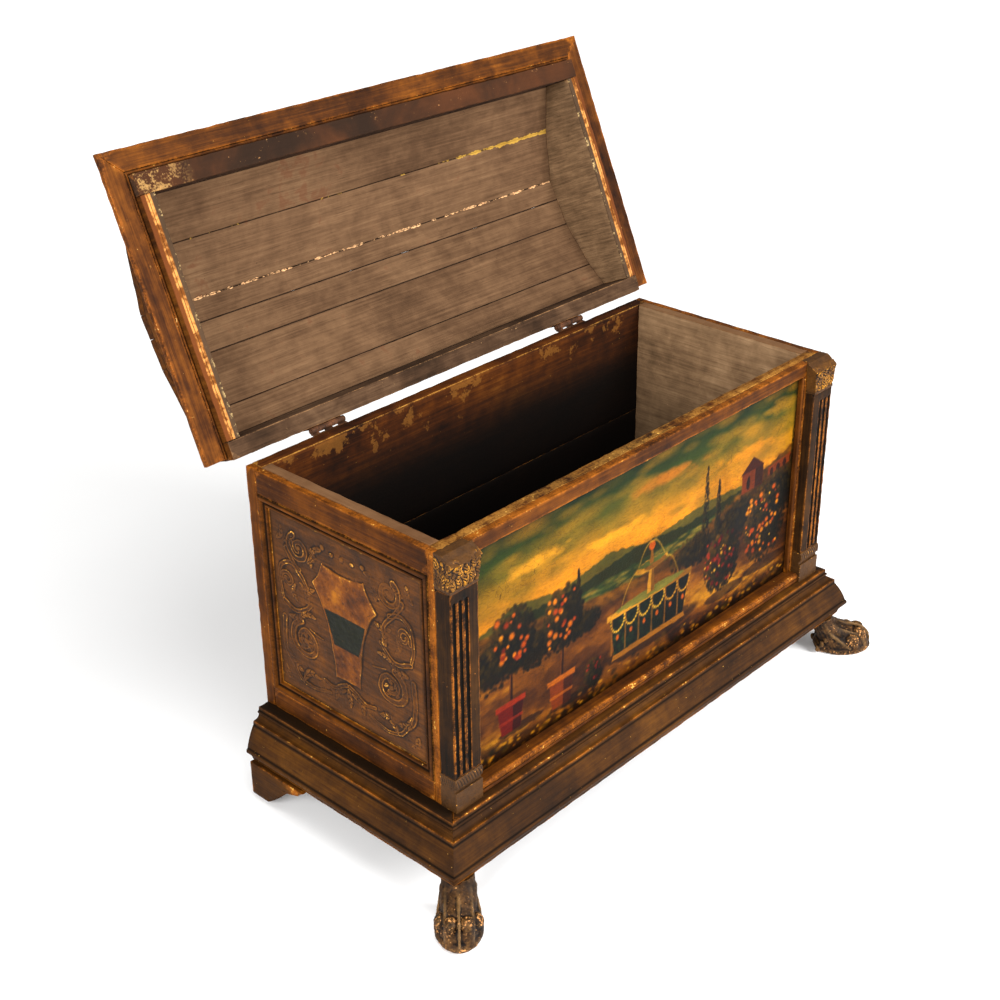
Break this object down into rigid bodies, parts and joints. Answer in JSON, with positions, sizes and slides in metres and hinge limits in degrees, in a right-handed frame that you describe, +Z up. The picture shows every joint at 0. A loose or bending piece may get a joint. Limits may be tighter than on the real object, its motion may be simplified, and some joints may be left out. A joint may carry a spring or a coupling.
{
  "type": "cassone",
  "caption": "Low wooden cassone with fluted pilasters, painted front panel, carved ends, moulded plinth, paw feet and a hinged coffered lid.",
  "frame": {"origin": "on the floor, under the middle of the bounding box of the chest with its lid open", "axes": "+X to the right of someone facing the painted front, +Y from the front to the back, +Z up"},
  "size_m": [1.083, 0.7206, 0.967],
  "materials": {
    "inner_wood": "bare old softwood, dry and darkened by handling",
    "frame_brown": "reddish brown stain under worn wax",
    "dark_wood": "near-black stained wood with brown wear on raised edges",
    "carved_brown": "golden brown low carving with rubbed high points",
    "plinth_brown": "dark brown stain with pale chips along the edges",
    "lid_moulding_brown": "orange brown stained moulding, worn at its edges",
    "carved_feet": "dark brown carved feet with rubbed orange high points",
    "painted_scene": "old oil paint on panel, varnished and slightly worn",
    "hinge_iron": "dull blackened iron with rust"
  },
  "bodies": {
    "chest": {"front_board": "inner_wood", "back_board_lower": "inner_wood", "back_board_upper": "inner_wood", "left_end_board": "inner_wood", "right_end_board": "inner_wood", "floor_board_front": "inner_wood", "floor_board_rear": "inner_wood", "left_end_front_stile": "frame_brown", "right_end_front_stile": "frame_brown", "left_end_rear_stile": "frame_brown", "right_end_rear_stile": "frame_brown", "left_end_top_rail": "frame_brown", "right_end_top_rail": "frame_brown", "left_end_bottom_rail": "frame_brown", "right_end_bottom_rail": "frame_brown", "left_end_bead_moulding": "frame_brown", "right_end_bead_moulding": "frame_brown", "left_end_carved_panel": "carved_brown", "right_end_carved_panel": "carved_brown", "left_pilaster_base": "dark_wood", "right_pilaster_base": "dark_wood", "left_pilaster_shaft": "dark_wood", "right_pilaster_shaft": "dark_wood", "left_pilaster_capital": "dark_wood", "right_pilaster_capital": "dark_wood", "front_bottom_rail": "frame_brown", "front_top_rail": "frame_brown", "left_front_stile": "frame_brown", "right_front_stile": "frame_brown", "painted_panel": "painted_scene", "left_plinth_end_moulding": "plinth_brown", "right_plinth_end_moulding": "plinth_brown", "plinth_front_moulding": "plinth_brown", "plinth_back_rail": "inner_wood", "plinth_glue_blocks": "inner_wood", "left_paw_foot": "carved_feet", "right_paw_foot": "carved_feet", "paw_dowels": "inner_wood", "left_rear_bracket_foot": "plinth_brown", "right_rear_bracket_foot": "plinth_brown", "left_hinge_chest_leaf": "hinge_iron", "right_hinge_chest_leaf": "hinge_iron", "hinge_pins": "hinge_iron", "hinge_chest_screws": "hinge_iron"},
    "lid": {"lid_rear_board": "inner_wood", "lid_stave_6": "inner_wood", "lid_stave_5": "inner_wood", "lid_stave_4": "inner_wood", "lid_stave_3": "inner_wood", "lid_stave_2": "inner_wood", "lid_stave_1": "inner_wood", "lid_front_board": "inner_wood", "left_lid_end_board": "inner_wood", "right_lid_end_board": "inner_wood", "left_lid_end_moulding": "lid_moulding_brown", "right_lid_end_moulding": "lid_moulding_brown", "lid_front_moulding": "lid_moulding_brown", "left_hinge_lid_leaf": "hinge_iron", "right_hinge_lid_leaf": "hinge_iron", "hinge_lid_screws": "hinge_iron"}
  },
  "joints": [
    {"name": "lid_hinge", "type": "hinge", "parent": "chest", "child": "lid", "pos_m": [0, 0.14819, 0.555], "axis": [1, 0, 0], "range_deg": [0, 113.4]}
  ]
}
